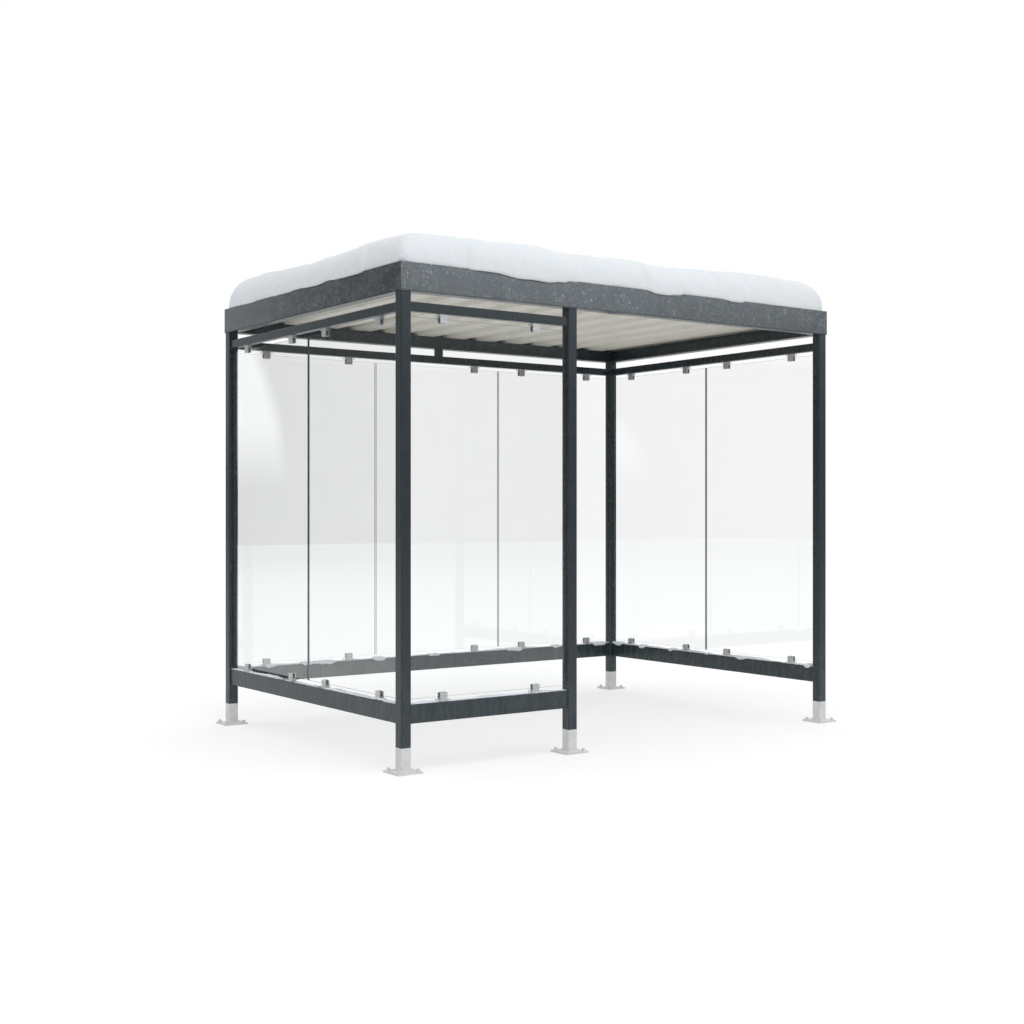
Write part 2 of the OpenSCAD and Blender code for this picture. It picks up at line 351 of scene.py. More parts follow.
def mottled_fascia(f):
    """Grey mottled coat: soft clouds, small bright specks and curls, faint streaks from the top
    down, and a dark band along the lower edge, partly dirt and partly painted shade."""
    material, tree, shader = finish_of("mottled_fascia_coat", Metallic=0.85)
    at = place(tree)
    cluster = spread(tree, grain(tree, at, scale=9, detail=2, rough=0.5, warp=0.5), 0.46, 0.62)
    curl = grain(tree, at, scale=46, detail=2, rough=0.5, warp=3.0)
    off_line = calc(tree, "ABSOLUTE", calc(tree, "SUBTRACT", curl, 0.53))
    ring = spread(tree, off_line, 0.034, 0.008)
    cells = add(tree, "ShaderNodeTexVoronoi", {"Vector": at, "Scale": 50.0}).outputs
    chance = add(tree, "ShaderNodeSeparateColor", {0: cells["Color"]}).outputs[0]
    spot = product(
        tree, spread(tree, cells["Distance"], 0.38, 0.18), spread(tree, chance, 0.3, 0.8)
    )
    weight = calc(tree, "ADD", product(tree, cluster, 0.2), 0.27)
    fleck = product(tree, either(tree, product(tree, ring, 0.8), spot), weight)
    streak = grain(tree, place(tree, (1, 1, 0.07)), scale=24, detail=4, rough=0.6)
    base = blend(tree, spread(tree, streak, 0.35, 0.7, 0, 0.35), f.fascia, dim(f.fascia, 1.25))
    cloud = spread(tree, grain(tree, at, scale=28, detail=3, rough=0.6), 0.35, 0.68, 0, 0.5)
    base = blend(tree, cloud, base, dim(f.fascia, 1.2))
    drift = grain(tree, at, scale=7, detail=3, rough=0.6)
    base = blend(tree, spread(tree, drift, 0.3, 0.6, 0.25, 0), base, dim(f.fascia, 0.75))
    base = blend(tree, fleck, base, f.fascia_fleck)
    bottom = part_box("fascia_front")[0].z
    # dark band along the fascia's lower edge: partly dirt, partly painted shade
    dirt_and_painted_shade = spread(tree, height_of(tree, at), bottom + DIRT_AND_PAINTED_SHADE_EDGE[0], bottom + DIRT_AND_PAINTED_SHADE_EDGE[1], 0, 0.55)
    base = blend(tree, dirt_and_painted_shade, base, dim(f.fascia, 0.4))
    rough = spread(tree, cloud, 0, 0.5, f.fascia_rough + 0.04, f.fascia_rough - 0.04)
    join(tree, shader, Base_Color=base, Roughness=rough)
    join(tree, shader, Normal=bump(tree, calc(tree, "ADD", fleck, streak), 0.0002, 0.4))
    return material


def dull_zinc(f):
    """Weathered zinc with soft crystals and dark stains."""
    material, tree, shader = finish_of("dull_zinc", Metallic=0.1)
    at = place(tree)
    crystal = add(tree, "ShaderNodeTexVoronoi", {"Vector": at, "Scale": 90.0}).outputs["Color"]
    shade = add(tree, "ShaderNodeSeparateColor", {0: crystal}).outputs[0]
    stain = spread(tree, grain(tree, at, scale=30, detail=5, rough=0.65), 0.35, 0.75)
    base = blend(tree, product(tree, shade, 0.35), f.zinc, dim(f.zinc, 0.85))
    base = blend(tree, product(tree, stain, 0.3), base, dim(f.zinc, 0.6))
    join(tree, shader, Base_Color=base, Roughness=spread(tree, shade, 0, 1, 0.55, 0.75))
    join(tree, shader, Normal=bump(tree, stain, 0.0004, 0.5))
    return material


def cream_sheet(f):
    """Thin cream coil coat, a little dirty, with a fine grain along the ribs."""
    material, tree, shader = finish_of("cream_coil_coat")
    at = place(tree)
    ribbed = grain(tree, place(tree, (1, 0.05, 1)), scale=60, detail=3, rough=0.6)
    dirt = grain(tree, at, scale=7, detail=5, rough=0.65, warp=0.5)
    base = blend(tree, spread(tree, ribbed, 0.3, 0.7, 0, 0.25), f.sheet, dim(f.sheet, 0.88))
    base = blend(tree, spread(tree, dirt, 0.45, 0.8, 0, 0.4), base, dim(f.sheet, 0.74))
    join(tree, shader, Base_Color=base)
    join(tree, shader, Roughness=spread(tree, dirt, 0.3, 0.7, 0.38, 0.52))
    join(tree, shader, Normal=bump(tree, ribbed, 0.0002, 0.4))
    return material


def brushed_clamp(f):
    """Stainless steel brushed along the clamp, with fine scratches."""
    material, tree, shader = finish_of("brushed_stainless", Metallic=0.7)
    brush = grain(tree, place(tree, (6, 6, 120)), scale=9, detail=4, rough=0.7)
    spot = grain(tree, place(tree), scale=120, detail=3, rough=0.6)
    base = blend(tree, spread(tree, brush, 0.3, 0.7), f.clamp, dim(f.clamp, 0.8))
    base = blend(tree, spread(tree, spot, 0.6, 0.8, 0, 0.4), base, dim(f.clamp, 0.5))
    join(tree, shader, Base_Color=base)
    join(tree, shader, Roughness=spread(tree, brush, 0.3, 0.7, 0.22, 0.38))
    join(tree, shader, Normal=bump(tree, brush, 0.0001, 0.4))
    return material


def soft_rubber(f):
    """Black rubber with a dusty bloom."""
    material, tree, shader = finish_of("soft_rubber")
    bloom = grain(tree, place(tree), scale=140, detail=4, rough=0.6)
    base = blend(tree, spread(tree, bloom, 0.4, 0.8), f.rubber, dim(f.rubber, 3.0))
    join(tree, shader, Base_Color=base, Roughness=spread(tree, bloom, 0.3, 0.7, 0.6, 0.8))
    join(tree, shader, Normal=bump(tree, bloom, 0.0002, 0.4))
    return material


def clear_glass(f, across):
    """Clear thin pane that faces along the axis across: both its faces mirror where the light
    comes in, the rest goes straight through, and its sawn edges get a painted dark shade."""
    material, tree, mirror = finish_of(
        "clear_glass_" + across, Base_Color=tuple(f.glass), Metallic=1.0, Roughness=0.0
    )
    ripple = grain(tree, place(tree), scale=3, detail=2, rough=0.5)
    join(tree, mirror, Normal=bump(tree, ripple, 0.0004, 0.15))
    shine = add(tree, "ShaderNodeFresnel", {"IOR": f.glass_index}).outputs[0]
    geometry = add(tree, "ShaderNodeNewGeometry").outputs
    front = calc(tree, "SUBTRACT", 1.0, geometry["Backfacing"])
    smear = grain(tree, place(tree), scale=5, detail=4, rough=0.6)
    two_faces = spread(tree, smear, 0.35, 0.75, 1.9, 2.1)
    both = calc(tree, "MINIMUM", product(tree, shine, two_faces, front), 1.0)
    clear = add(tree, "ShaderNodeBsdfTransparent", {"Color": rgba(f.glass)}).outputs[0]
    pane = add(tree, "ShaderNodeMixShader", {0: both, 1: clear, 2: mirror.outputs[0]}).outputs[0]
    normal = add(tree, "ShaderNodeSeparateXYZ", {0: geometry["True Normal"]}).outputs
    rim = calc(tree, "LESS_THAN", calc(tree, "ABSOLUTE", normal[across]), 0.5)
    # painted shade: a flat dark colour on the edges stands in for the dark look of light inside the
    # glass
    painted_dark_edge = add(tree, "ShaderNodeBsdfDiffuse", {"Color": rgba(f.glass_edge_painted_shade)}).outputs[0]
    whole = add(tree, "ShaderNodeMixShader", {0: rim, 1: pane, 2: painted_dark_edge}).outputs[0]
    tree.links.new(whole, tree.nodes["Material Output"].inputs["Surface"])
    return material


def fresh_snow(name, tint):
    """Snow with a fine crystal grain, light carried a little way under its surface."""
    material, tree, shader = finish_of(
        name, Subsurface_Weight=0.25, Subsurface_Radius=(0.02, 0.026, 0.034), Subsurface_Scale=0.6
    )
    at = place(tree)
    crystal = grain(tree, at, scale=420, detail=3, rough=0.7)
    clump = grain(tree, at, scale=45, detail=5, rough=0.65)
    cold = tuple(c * k for c, k in zip(tint, (0.93, 0.955, 0.98)))
    join(tree, shader, Base_Color=blend(tree, spread(tree, clump, 0.3, 0.75), tint, cold))
    join(tree, shader, Roughness=spread(tree, crystal, 0.3, 0.7, 0.62, 0.85))
    fine = bump(tree, crystal, 0.0006, 0.35)
    join(tree, shader, Normal=bump(tree, clump, 0.007, 0.5, fine))
    return material


# ---- Pieces ----


def settings():
    """The scene's sizes, finishes and stage."""
    s = bpy.context.scene
    return s.shelter_sizes, s.shelter_finishes, s.shelter_stage


def dress(names, material):
    """Puts the material on these CAD nodes."""
    for name in names:
        node = frame["nodes"][name]
        if not node.material_slots:
            node.data.materials.append(material)
        for s in node.material_slots:
            s.material = material


def piece(name, bm, material, sharp=None):
    """New object from bm, in the frame of the CAD model, that moves with the body."""
    bmesh.ops.recalc_face_normals(bm, faces=bm.faces)
    mesh = bpy.data.meshes.new(name)
    bm.to_mesh(mesh)
    bm.free()
    mesh.shade_smooth()
    if sharp is not None:
        mesh.set_sharp_from_angle(angle=math.radians(sharp))
    mesh.materials.append(material)
    obj = bpy.data.objects.new(name, mesh)
    bpy.context.scene.collection.objects.link(obj)
    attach(obj, BODY)
    return obj


def turned(bm, where, axis, sides, rings, closed=False, turn=0.0):
    """Solid with that many sides round the axis, from (radius, height) rings; the last ring of a
    closed one joins the first."""
    tilt = Vector((0, 0, 1)).rotation_difference(Vector(axis)).to_matrix().to_4x4()
    put = Matrix.Translation(where) @ tilt
    rows = []
    for radius, height in rings:
        angles = (2 * math.pi * i / sides + turn for i in range(sides))
        ring = [Vector((radius * math.cos(a), radius * math.sin(a), height)) for a in angles]
        rows.append([bm.verts.new(put @ point) for point in ring])
    skin(bm, rows, closed)
    if not closed:
        bm.faces.new(rows[0])
        bm.faces.new(rows[-1])


def skin(bm, rows, closed=False):
    """Faces between rows of points, each row a closed loop."""
    pairs = list(zip(rows, rows[1:])) + ([(rows[-1], rows[0])] if closed else [])
    for a, b in pairs:
        for i in range(len(a)):
            j = (i + 1) % len(a)
            bm.faces.new((a[i], a[j], b[j], b[i]))


def along(stations, s):
    """Value at s, eased between (place, value) stations."""
    if s <= stations[0][0]:
        return stations[0][1]
    for (s0, v0), (s1, v1) in zip(stations, stations[1:]):
        if s <= s1:
            t = (s - s0) / (s1 - s0)
            return v0 + (v1 - v0) * t * t * (3 - 2 * t)
    return stations[-1][1]


def ease(low, high, value):
    """0 at low, 1 at high, and smooth between."""
    t = min(1.0, max(0.0, (value - low) / (high - low)))
    return t * t * (3 - 2 * t)


def rough_noise(point, size, octaves=3, seed=0):
    """Noise of about -1 to 1 whose largest features are that many metres."""
    p = Vector(point) / size + Vector((17.3 * seed, 5.1 * seed, 0))
    return noise.fractal(p, 1.0, 2.0, octaves)


# ---- Steel ----


BEAD_STEP = 0.005  # distance between the rings of a weld bead
BEAD_SIDES = 8
BEAD_RADIUS = 0.8  # as a share of the weld's size
RIPPLE, RIPPLE_TURN = 0.18, 2.4  # height of the ripples as a share, and their turn per ring
UNEVEN, UNEVEN_PER_METRE = 0.1, 60
DIAGONAL = 0.7071


def bead(bm, low, high, axis, size):
    """Rippled weld bead round the rectangle low to high, which is flat across the axis."""
    u, v = [i for i in range(3) if i != axis]
    corners = [(low[u], low[v]), (high[u], low[v]), (high[u], high[v]), (low[u], high[v])]
    middle = Vector(((low[u] + high[u]) / 2, (low[v] + high[v]) / 2))
    rows = []
    for k in range(4):
        a, b = Vector(corners[k]), Vector(corners[(k + 1) % 4])
        steps = max(2, round((b - a).length / BEAD_STEP))
        for i in range(steps):
            centre = a.lerp(b, i / steps)
            if i == 0:
                out = (centre - middle).normalized()
                out = Vector((math.copysign(DIAGONAL, out.x), math.copysign(DIAGONAL, out.y)))
            else:
                out = Vector(((b - a).y, -(b - a).x)).normalized()
                if out.dot(centre - middle) < 0:
                    out = -out
            lump = UNEVEN * noise.noise(Vector((*centre, low[axis])) * UNEVEN_PER_METRE)
            r = size * (1 + RIPPLE * math.sin(RIPPLE_TURN * len(rows)) + lump)
            row = []
            for j in range(BEAD_SIDES):
                t = 2 * math.pi * j / BEAD_SIDES
                at = [0.0, 0.0, 0.0]
                at[u], at[v] = centre + out * (r * BEAD_RADIUS * math.cos(t))
                at[axis] = low[axis] + r * BEAD_RADIUS * math.sin(t)
                row.append(bm.verts.new(at))
            rows.append(row)
    skin(bm, rows, closed=True)


class SHELTER_OT_steel(bpy.types.Operator):
    """Paints posts, rails and beams, and runs weld beads round their joints"""

    bl_idname = "shelter.steel"
    bl_label = "Steel frame"

    def execute(self, context):
        sizes, finishes, _ = settings()
        paint = painted_steel(finishes)
        posts = ["post_" + n for n in FEET]
        rails = [level + "_rail_" + wall for level in ("lower", "upper") for wall in WALLS]
        dress(posts + rails + ["back_rail_stub"] + ["roof_beam_" + w for w in WALLS], paint)
        for level in ("lower", "upper"):
            bm = bmesh.new()
            for wall in WALLS:
                low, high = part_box(f"{level}_rail_{wall}")
                run = 0 if high.x - low.x > high.y - low.y else 1
                for end in (low, high):
                    a, b = low.copy(), high.copy()
                    a[run] = b[run] = end[run]
                    bead(bm, a, b, run, sizes.weld)
            piece(f"welds_{level}_rails", bm, paint)
        bm = bmesh.new()
        for foot in FEET:
            low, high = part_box("post_" + foot)
            high.z = low.z
            bead(bm, low, high, 2, sizes.weld)
        piece("welds_feet", bm, paint)
        return {"FINISHED"}


THREAD_PITCH = 0.00175
THREAD_CREST, THREAD_ROOT, THREAD_FLANK = 0.98, 0.88, 0.0009  # shares of the radius, and a height
CORNER_SIGNS = ((-1, -1), (1, -1), (1, 1), (-1, 1))


class SHELTER_OT_feet(bpy.types.Operator):
    """Finishes the base plates and sets washers, nuts and stud ends in their holes"""

    bl_idname = "shelter.feet"
    bl_label = "Base plates and anchor bolts"

    def execute(self, context):
        sizes, finishes, _ = settings()
        zinc = dull_zinc(finishes)
        dress(["base_plate_" + n for n in FEET], zinc)
        across = sizes.nut_flats / 2 / math.cos(math.pi / 6)
        chamfer = sizes.nut_height * 0.12
        stud = sizes.stud_radius
        for foot, hole in zip(FEET, HOLES):
            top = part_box("base_plate_" + foot)[1].z
            half_x, half_y = (hole["dims"][f"spacing_{i}_mm"] / 2000 for i in "xy")
            bm = bmesh.new()
            for k, (sx, sy) in enumerate(CORNER_SIGNS):
                x, y = hole["pos_m"][0] + sx * half_x, hole["pos_m"][1] + sy * half_y
                flat, thick, tall = sizes.washer_radius, sizes.washer_height, sizes.nut_height
                washer = [(stud, 0), (flat, 0), (flat, thick), (stud, thick)]
                turned(bm, (x, y, top), (0, 0, 1), 28, washer, closed=True)
                nut = [(across * 0.93, 0), (across, chamfer), (across, tall - chamfer)]
                nut += [(across * 0.9, tall), (stud, tall), (stud, 0)]
                turned(bm, (x, y, top + thick), (0, 0, 1), 6, nut, closed=True, turn=0.4 + 0.9 * k)
                end = top + thick + tall + sizes.stud_over
                thread = []
                z = 0.001
                while z < end - 0.002:
                    thread += [(stud * THREAD_CREST, z), (stud * THREAD_ROOT, z + THREAD_FLANK)]
                    z += THREAD_PITCH
                thread += [(stud * 0.95, end - 0.001), (stud * 0.75, end)]
                turned(bm, (x, y, 0), (0, 0, 1), 20, thread)
            piece("anchor_bolts_" + foot, bm, zinc, sharp=35)
        return {"FINISHED"}


# ---- Glass ----


class SHELTER_OT_glass(bpy.types.Operator):
    """Makes the panes clear"""

    bl_idname = "shelter.glass"
    bl_label = "Glass"

    def execute(self, context):
        finishes = settings()[1]
        sides = {"X": ("glass_left", "glass_right"), "Y": ("glass_front", "glass_back")}
        for across, walls in sides.items():
            panes = [n for n in frame["nodes"] if n.startswith(walls)]
            dress(panes, clear_glass(finishes, across))
        return {"FINISHED"}


CLAMP_GAP = 0.03  # corners further apart than this along a wall are on different clamps
SUNK = 0.0002  # how far a screw's head starts inside its clamp
# Outline of a screw's head and its socket, as shares of the head's radius and height.
SCREW_HEAD = ((1, 0.7), (0.88, 1), (0.5, 1), (0.46, 0.25), (0.05, 0.2))


class SHELTER_OT_clamps(bpy.types.Operator):
    """Brushes the clamps, blackens their rubber channels and sets two socket screws in each"""

    bl_idname = "shelter.clamps"
    bl_label = "Clamps"

    def execute(self, context):
        sizes, finishes, _ = settings()
        steel = brushed_clamp(finishes)
        rubber = soft_rubber(finishes)
        dress(["clamps_" + w for w in WALLS], steel)
        dress(["gaskets_" + w for w in WALLS], rubber)
        radius, over = sizes.screw_radius, sizes.screw_over
        for wall in WALLS:
            bm = bmesh.new()
            run = 0 if wall in ("front", "back") else 1
            low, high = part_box("clamps_" + wall)
            side_on = Vector((run, 1 - run, 0))
            faces = ((-side_on, low[1 - run]), (side_on, high[1 - run]))
            for place_on_wall, bottom in clamp_places(wall, run):
                z = low.z + sizes.screw_up if bottom else high.z - sizes.screw_up
                for side, out, face in [(a, b, c) for a in (-0.5, 0.5) for b, c in faces]:
                    at = Vector((0, 0, z))
                    at[run] = place_on_wall + side * sizes.screw_apart
                    at[1 - run] = face
                    head = [(radius, -SUNK)] + [(radius * r, over * h) for r, h in SCREW_HEAD]
                    turned(bm, at, out, 24, head)
            piece("clamp_screws_" + wall, bm, steel, sharp=35)
        return {"FINISHED"}


def clamp_places(wall, run):
    """(place along the wall, whether at the bottom) of each clamp, from its own corners."""
    mesh = frame["nodes"]["clamps_" + wall].data
    low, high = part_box("clamps_" + wall)
    middle = (low.z + high.z) / 2
    places = sorted({round(v.co[run], 4) for v in mesh.vertices})
    groups = []
    for value in places:
        if groups and value - groups[-1][-1] < CLAMP_GAP:
            groups[-1].append(value)
        else:
            groups.append([value])
    return [((g[0] + g[-1]) / 2, z < middle) for g in groups for z in (low.z, high.z)]


# ---- Roof ----


class SHELTER_OT_roof(bpy.types.Operator):
    """Finishes the fascia plates and the roof sheet"""

    bl_idname = "shelter.roof"
    bl_label = "Fascia and roof sheet"

    def execute(self, context):
        finishes = settings()[1]
        dress(["fascia_" + w for w in WALLS], mottled_fascia(finishes))
        dress(["roof_sheet"], cream_sheet(finishes))
        return {"FINISHED"}


# ---- Snow ----

# Places are metres along the roof's edge from the front left corner, anticlockwise seen from
# above. Heights are shares of the snow's height, drops are shares of its largest drop.
CREST = (
    (0.0, 1.08), (0.3, 1.07), (0.55, 1.06), (0.85, 1.12), (1.15, 1.05), (1.55, 1.12),
    (1.95, 1.05), (2.25, 1.1), (2.6, 1.18), (2.8, 1.17), (3.0, 1.1), (3.17, 1.04), (3.6, 1.05),
    (4.3, 0.97), (5.0, 1.06), (5.33, 0.97), (5.9, 1.03), (6.6, 0.95), (7.4, 1.06), (8.1, 1.0),
    (8.42, 1.07), (8.8, 1.1), (9.15, 1.02), (9.55, 0.95), (9.9, 1.0), (10.3, 1.04), (10.65, 1.08),
)
SHOULDER = (
    (0.0, 1.35), (0.5, 0.95), (1.6, 1.1), (2.7, 1.0), (3.17, 0.72), (3.6, 1.1), (5.0, 1.0),
    (5.33, 1.3), (6.0, 1.0), (8.0, 1.1), (8.42, 1.05), (9.1, 1.1), (10.2, 0.95), (10.65, 1.35),
)
DROP = (
    (0.0, 0.0), (0.38, 0.0), (0.46, 0.28), (0.58, 0.3), (0.74, 0.9), (0.86, 0.85), (0.93, 1.0),
    (1.03, 0.65), (1.1, 0.2), (1.22, 0.05), (1.64, 0.05), (1.72, 0.6), (1.8, 0.7), (1.88, 0.5),
    (1.95, 0.08), (2.25, 0.05), (2.34, 0.5), (2.4, 0.45), (2.45, 0.05), (3.1, 0.0), (3.5, 0.0),
    (4.2, 0.5), (4.5, 0.1), (5.3, 0.0), (5.9, 0.1), (6.4, 0.7), (6.8, 0.1), (7.5, 0.5),
    (7.9, 0.0), (8.5, 0.0), (8.9, 0.2), (9.05, 0.0), (9.3, 0.25), (9.5, 0.1), (9.75, 0.4),
    (9.85, 0.1), (10.1, 0.35), (10.2, 0.4), (10.3, 0.0), (10.65, 0.0),
)


def roof_edge(half_w, half_d, radius, steps_x, steps_y, steps_r):
    """Points, outward directions and places along the edge of a rounded rectangle."""
    result = []
    place_on_edge = 0.0
    for k in range(4):
        (ax, ay), (bx, by) = CORNER_SIGNS[k], CORNER_SIGNS[(k + 1) % 4]
        run = Vector((bx - ax, by - ay)) / 2
        out = Vector((run.y, -run.x))
        size = 2 * (half_w if run.x else half_d)
        steps = steps_x if run.x else steps_y
        straight = size - 2 * radius
        start = Vector((ax * half_w, ay * half_d)) + run * radius
        for i in range(steps):
            t = i / steps
            point = start + run * straight * t
            result.append((point, out, place_on_edge + radius + straight * t))
        centre = Vector((bx * (half_w - radius), by * (half_d - radius)))
        for i in range(steps_r):
            a = math.pi / 2 * i / steps_r
            round_out = out * math.cos(a) + run * math.sin(a)
            s = place_on_edge + size - radius + 2 * radius * i / steps_r
            result.append((centre + round_out * radius, round_out, s))
        place_on_edge += size
    return result


EDGE_STEPS = (210, 136, 14)  # points along the front, along a side and round a corner
MARGIN = 0.02  # what the snow's innermost ring leaves to the middle
BACK_STEPS, FLAT_STEPS, RIDGE_STEPS = 4, 18, 5  # rings behind the shoulder, on the flat, inside
SIDE_LUMP = 0.8  # share of the lumps' height that pushes the snow's side in and out
LOOSE = 0.03  # height over the fascia from which the side is fully lumpy


class SHELTER_OT_snow(bpy.types.Operator):
    """Lays the snow on the roof, with rounded shoulders and lips that hang over the fascia"""

    bl_idname = "shelter.snow"
    bl_label = "Snow on the roof"

    def execute(self, context):
        sizes, finishes, _ = settings()
        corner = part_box("fascia_left")[0]
        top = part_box("fascia_front")[1].z
        half_w, half_d = -corner.x, -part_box("fascia_front")[0].y
        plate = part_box("fascia_left")[1].x - corner.x
        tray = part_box("roof_sheet")[1].z - top
        radius = sizes.snow_corner
        deep = half_d - radius - MARGIN
        edge = roof_edge(half_w, half_d, radius, *EDGE_STEPS)
        inner = roof_edge(half_w - deep, half_d - deep, radius, *EDGE_STEPS)
        ridge = roof_edge(half_w - half_d, 0.0, 0.0, *EDGE_STEPS)
        flat_from, flat_to = 2 * sizes.snow_shoulder, 3.5 * sizes.snow_shoulder
        insets = [
            flat_from + (deep - flat_from) * i / FLAT_STEPS for i in range(FLAT_STEPS + 1)
        ]
        bm = bmesh.new()
        columns = []
        for (point, out, s), (point_in, _, _), (point_mid, _, _) in zip(edge, inner, ridge):
            column = []
            side = snow_side(s, sizes, plate, tray)
            height = along(CREST, s) * sizes.snow_height
            shoulder = -side[-1][0]
            for i in range(1, BACK_STEPS + 1):
                side.append((-shoulder - (flat_from - shoulder) * i / (BACK_STEPS + 1), height))
            for off, up in side:
                at = point + out * off if off > 0 else point.lerp(point_in, -off / deep)
                loose = sizes.snow_lump * SIDE_LUMP * ease(0.0, LOOSE, up)
                push = loose * rough_noise((at.x, at.y, up), size=0.13, octaves=4, seed=sizes.seed)
                lift = snow_relief(at, sizes) * ease(0.0, sizes.snow_height, up)
                column.append((*(at + out * push), top + up + lift))
            for d in insets:
                at = point.lerp(point_in, d / deep)
                z = height + (sizes.snow_height - height) * ease(flat_from, flat_to, d)
                column.append((at.x, at.y, top + z + snow_relief(at, sizes)))
            for i in range(1, RIDGE_STEPS + 1):
                at = point_in.lerp(point_mid, i / RIDGE_STEPS)
                column.append((at.x, at.y, top + sizes.snow_height + snow_relief(at, sizes)))
            columns.append(column)
        rows = [[bm.verts.new(column[k]) for column in columns] for k in range(len(columns[0]))]
        skin(bm, rows)
        bm.faces.new(rows[0])
        bmesh.ops.remove_doubles(bm, verts=bm.verts, dist=1e-5)
        cover = piece("roof_snow", bm, fresh_snow("fresh_snow", finishes.snow))
        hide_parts("snow_cover")
        return {"FINISHED"}


def snow_relief(point, sizes):
    """Height of the waves and lumps on top of the snow."""
    wave = rough_noise((point.x, point.y, 0.3), size=0.75, octaves=2, seed=sizes.seed)
    lump = rough_noise((point.x, point.y, 0.7), size=0.17, octaves=4, seed=sizes.seed + 1)
    return sizes.snow_wave * wave + sizes.snow_lump * lump


LIFTED = 0.0005  # gap between the snow and the top of the fascia
FLUSH, FLUSH_RAGGED = -0.008, 0.004  # where the snow's face stands without a lip, and its wander
LIP_BOTTOM = 0.012  # height at which the shoulder's round begins
BITTEN = 0.014  # height of the notches in a lip's lower edge
SHOULDER_STEPS = 14


def snow_side(s, sizes, plate, tray):
    """(offset from the fascia's face, height over its top) from the tray, over the fascia, round
    the lip where there is one, and up the shoulder, at a place along the edge."""
    share_down = along(DROP, s)
    ragged = rough_noise((s, 0.0, 0.0), size=0.3, octaves=4, seed=sizes.seed + 2)
    over = ease(0.0, 0.3, share_down)
    bite = max(0.0, rough_noise((s, 2.0, 0.0), size=0.11, octaves=3, seed=sizes.seed + 5))
    hang = sizes.snow_drop * share_down * (1 + 0.2 * ragged)
    flush = FLUSH + FLUSH_RAGGED * ragged
    reach = flush + over * (sizes.snow_reach - flush)
    under = flush - 0.003 + over * (0.0045 - flush)
    side = [(-plate - 0.012, tray), (-plate - 0.003, LIFTED), (under, LIFTED)]
    side.append((under, LIFTED - hang + BITTEN * bite))
    side.append((0.45 * under + 0.55 * reach, 0.001 - hang * 1.08))
    side.append((reach - 0.001, 0.004 - hang * 0.85))
    side.append((reach, LIP_BOTTOM - hang * 0.4))
    height = along(CREST, s) * sizes.snow_height
    shoulder = along(SHOULDER, s) * sizes.snow_shoulder
    for i in range(1, SHOULDER_STEPS + 1):
        a = math.pi / 2 * i / SHOULDER_STEPS
        up = LIP_BOTTOM + (height - LIP_BOTTOM) * math.sin(a)
        side.append((reach - (shoulder + reach) * (1 - math.cos(a)), up))
    return side


SOLE = 0.0002  # how far a patch reaches into the surface under it


def patch(bm, low, high, cell, shape_at):
    """Thin closed patches on the flat rectangle low to high. shape_at(x, y) gives how high they
    stand and how far they hang down; there is none where the height is 0 or less."""
    nx, ny = (max(1, round((high[i] - low[i]) / cell)) for i in range(2))
    grid = {}
    for i in range(nx + 1):
        for j in range(ny + 1):
            x = low[0] + (high[0] - low[0]) * i / nx
            y = low[1] + (high[1] - low[1]) * j / ny
            grid[i, j] = (x, y, *shape_at(x, y))
    made = {}

    def corner(key, on_top):
        """Point of the grid on the patch's top or sole, which meet where it has no height."""
        x, y, up, down = grid[key]
        on_top = on_top and up > 0
        if (key, on_top) not in made:
            made[key, on_top] = bm.verts.new((x, y, low[2] + (up if on_top else -SOLE - down)))
        return made[key, on_top]

    for i in range(nx):
        for j in range(ny):
            keys = ((i, j), (i + 1, j), (i + 1, j + 1), (i, j + 1))
            if any(grid[k][2] > 0 for k in keys):
                bm.faces.new([corner(k, True) for k in keys])
                bm.faces.new([corner(k, False) for k in reversed(keys)])


# For each lower rail: how much more of it the thin snow covers, its thickness as a share, and
# how much of it spills over the rail's inner edge.
FROST = {
    "left": (0.05, 1.0, 0.3),
    "front": (0.0, 0.8, 0.0),
    "right": (0.1, 1.0, 1.0),
    "back": (0.1, 0.9, 1.0),
}
OUTER_RIM, INNER_RIM = 0.006, 0.012  # widths over which the snow thins out at a rail's edges
SPILL_DROP = 0.014  # how far the spilt snow hangs down


